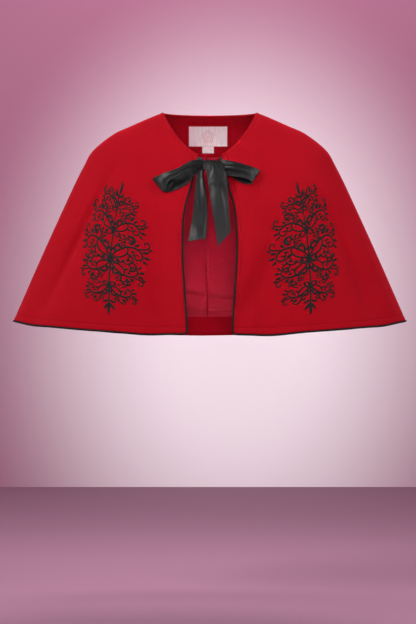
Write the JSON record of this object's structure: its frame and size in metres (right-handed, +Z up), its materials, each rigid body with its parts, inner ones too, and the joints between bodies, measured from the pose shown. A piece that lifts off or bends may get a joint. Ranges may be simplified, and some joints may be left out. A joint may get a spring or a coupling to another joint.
{
  "type": "short cape",
  "caption": "Short flared wool cape, open down the front, with a ribbon tie at the neck, a corded edge and a faced, satin-lined back.",
  "frame": {"origin": "where the neck and shoulders hold the cape: on its middle plane, level with the two neck points and in line with the shoulder seams", "axes": "+Z up, -Y towards the open front, +X towards the right of the front view"},
  "size_m": [0.825, 0.397, 0.4711],
  "materials": {
    "wool": "brushed red wool coating with a short, soft nap",
    "lining": "smooth red satin lining with a soft sheen",
    "piping": "black corded piping and black embroidery thread",
    "ribbon": "black satin ribbon",
    "label": "pale woven satin label, left bare"
  },
  "bodies": {
    "root": {"back_panel": "wool", "front_left": "wool", "front_right": "wool", "neck_facing": "wool", "hem_facing": "wool", "lining_left": "lining", "lining_right": "lining", "label": "label", "size_tag": "label", "piping": "piping", "tie_left": "ribbon", "tie_right": "ribbon", "knot": "ribbon", "loop_left": "ribbon", "loop_right": "ribbon", "tail_left": "ribbon", "tail_right": "ribbon"}
  },
  "joints": []
}
